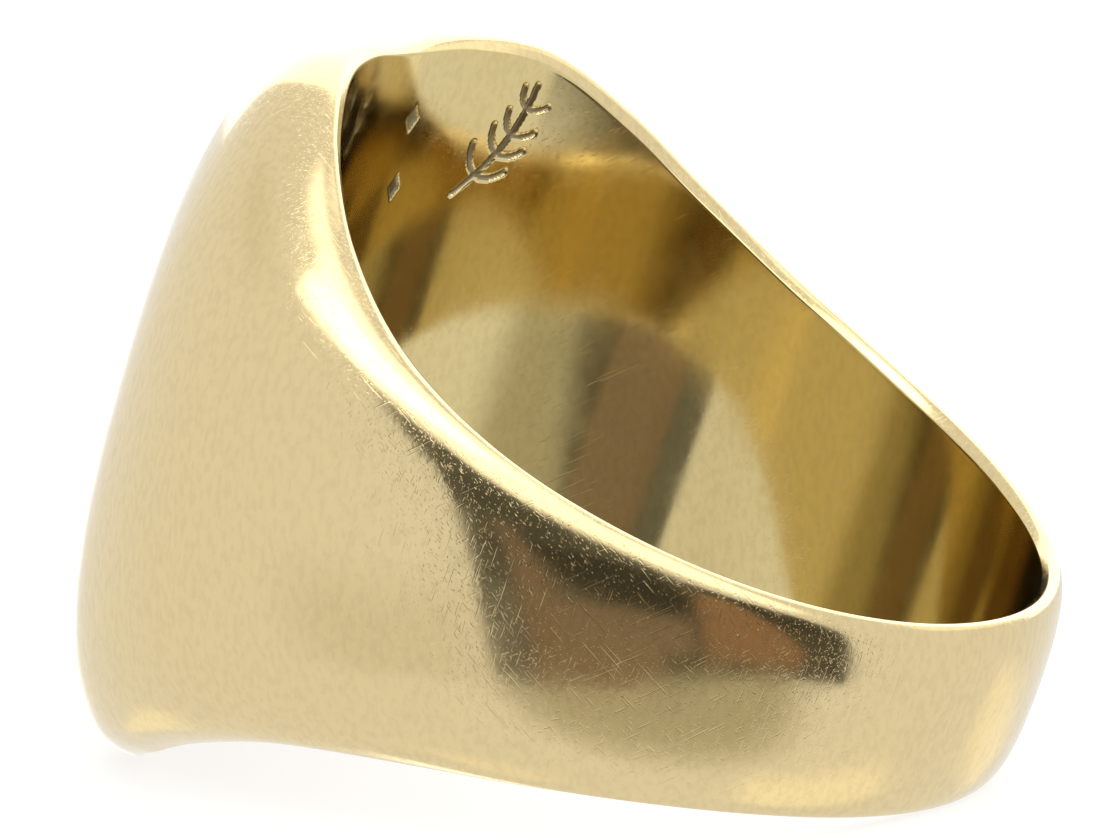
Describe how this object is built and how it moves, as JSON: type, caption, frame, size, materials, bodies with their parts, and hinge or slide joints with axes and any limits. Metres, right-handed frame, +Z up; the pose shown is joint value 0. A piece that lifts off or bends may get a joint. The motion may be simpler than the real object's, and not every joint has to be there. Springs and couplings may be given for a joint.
{
  "type": "signet ring",
  "caption": "Gents' signet ring in polished yellow gold with a flat, blank oval seal face, tapering shoulders and a narrow rounded shank.",
  "frame": {"origin": "on the surface that the ring lies on, under the middle of its bounding box", "axes": "+Z up, with the ring lying on its side; +X across the finger; +Y towards the head, whose signet face looks along +Y and up"},
  "size_m": [0.023, 0.024, 0.0174],
  "materials": {
    "gold": "worn polished yellow gold with fine scratches",
    "solder": "polished hard gold solder, a shade paler than the ring"
  },
  "bodies": {
    "root": {"seal_plate": "gold", "plate_solder": "solder", "head": "gold", "shoulder_left": "gold", "shoulder_right": "gold", "head_solder_left": "solder", "head_solder_right": "solder", "sizing_piece": "gold", "sizing_solder_left": "solder", "sizing_solder_right": "solder"}
  },
  "joints": []
}
